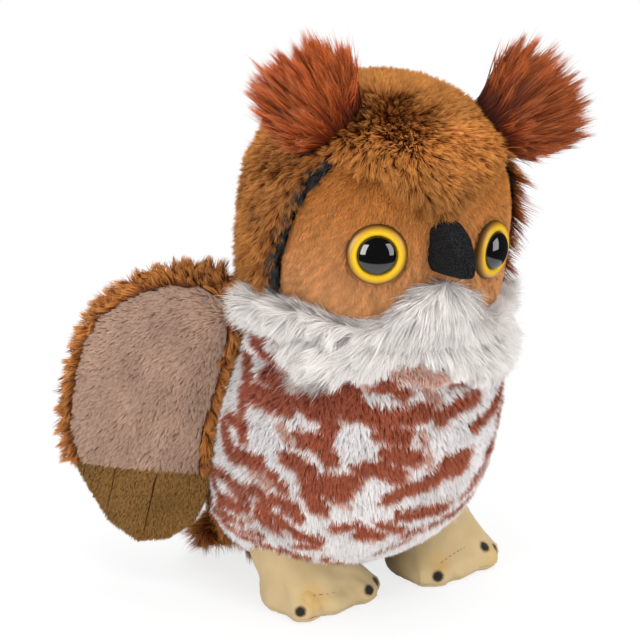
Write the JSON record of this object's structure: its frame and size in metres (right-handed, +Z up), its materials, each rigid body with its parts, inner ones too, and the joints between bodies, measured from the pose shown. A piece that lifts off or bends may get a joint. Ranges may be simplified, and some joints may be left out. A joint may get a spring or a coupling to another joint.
{
  "type": "plush owl toy",
  "caption": "Stuffed plush owl standing on two flat feet, with ear tufts, a white beard, a printed chest, padded half-spread wings and a short tail flap.",
  "frame": {"origin": "on the floor under the middle of the owl, at the bottom centre of its bounding box", "axes": "+Z up; the body faces -Y and its own left is +X; the head is sewn on turned a little to its right"},
  "size_m": [0.1388, 0.1382, 0.1912],
  "materials": {
    "rust_plush": "long combed pile",
    "tuft_plush": "long brushed pile",
    "face_plush": "short sheared pile",
    "trim_plush": "short black pile",
    "white_plush": "long silky pile",
    "printed_plush": "white pile printed with brown blotches",
    "wing_plush": "short brushed pile",
    "fringe_plush": "fine sheared pile",
    "foot_velour": "smooth velour with airbrushed dots",
    "eye_yellow": "glossy",
    "eye_black": "high gloss",
    "washer_plastic": "moulded",
    "beak_felt": "woven felt",
    "fibrefill": "loose fibre"
  },
  "bodies": {
    "owl": {"body_front_panel": "printed_plush", "body_back_left": "rust_plush", "body_back_right": "rust_plush", "body_stuffing": "fibrefill", "crown_panel": "rust_plush", "head_stuffing": "fibrefill", "beard": "white_plush", "beak": "beak_felt", "hood_left": "rust_plush", "face_disc_left": "face_plush", "face_trim_left": "trim_plush", "eye_ring_left": "eye_yellow", "pupil_left": "eye_black", "eye_washer_left": "washer_plastic", "ear_tuft_left": "tuft_plush", "foot_upper_left": "foot_velour", "foot_sole_left": "foot_velour", "foot_stuffing_left": "fibrefill", "hood_right": "rust_plush", "face_disc_right": "face_plush", "face_trim_right": "trim_plush", "eye_ring_right": "eye_yellow", "pupil_right": "eye_black", "eye_washer_right": "washer_plastic", "ear_tuft_right": "tuft_plush", "foot_upper_right": "foot_velour", "foot_sole_right": "foot_velour", "foot_stuffing_right": "fibrefill"},
    "wing_left": {"wing_cover_left": "rust_plush", "wing_batting_left": "fibrefill", "wing_lining_left": "wing_plush", "wing_fringe_left": "fringe_plush"},
    "wing_right": {"wing_cover_right": "rust_plush", "wing_batting_right": "fibrefill", "wing_lining_right": "wing_plush", "wing_fringe_right": "fringe_plush"},
    "tail": {"tail_cover": "rust_plush", "tail_batting": "fibrefill", "tail_lining": "rust_plush"}
  },
  "joints": [
    {"name": "wing_left_spread", "type": "hinge", "parent": "owl", "child": "wing_left", "pos_m": [0.04148, 0.01386, 0.07529], "axis": [0.1388, 0.2465, -0.9591], "range_deg": [-20, 45], "stiffness_Nm_per_rad": 0.01},
    {"name": "wing_right_spread", "type": "hinge", "parent": "owl", "child": "wing_right", "pos_m": [-0.04148, 0.01386, 0.07529], "axis": [0.1388, -0.2465, 0.9591], "range_deg": [-20, 45], "stiffness_Nm_per_rad": 0.01},
    {"name": "tail_lift", "type": "hinge", "parent": "owl", "child": "tail", "pos_m": [0, 0.03791, 0.015], "axis": [1, 0, 0], "range_deg": [-2, 40], "stiffness_Nm_per_rad": 0.02}
  ]
}
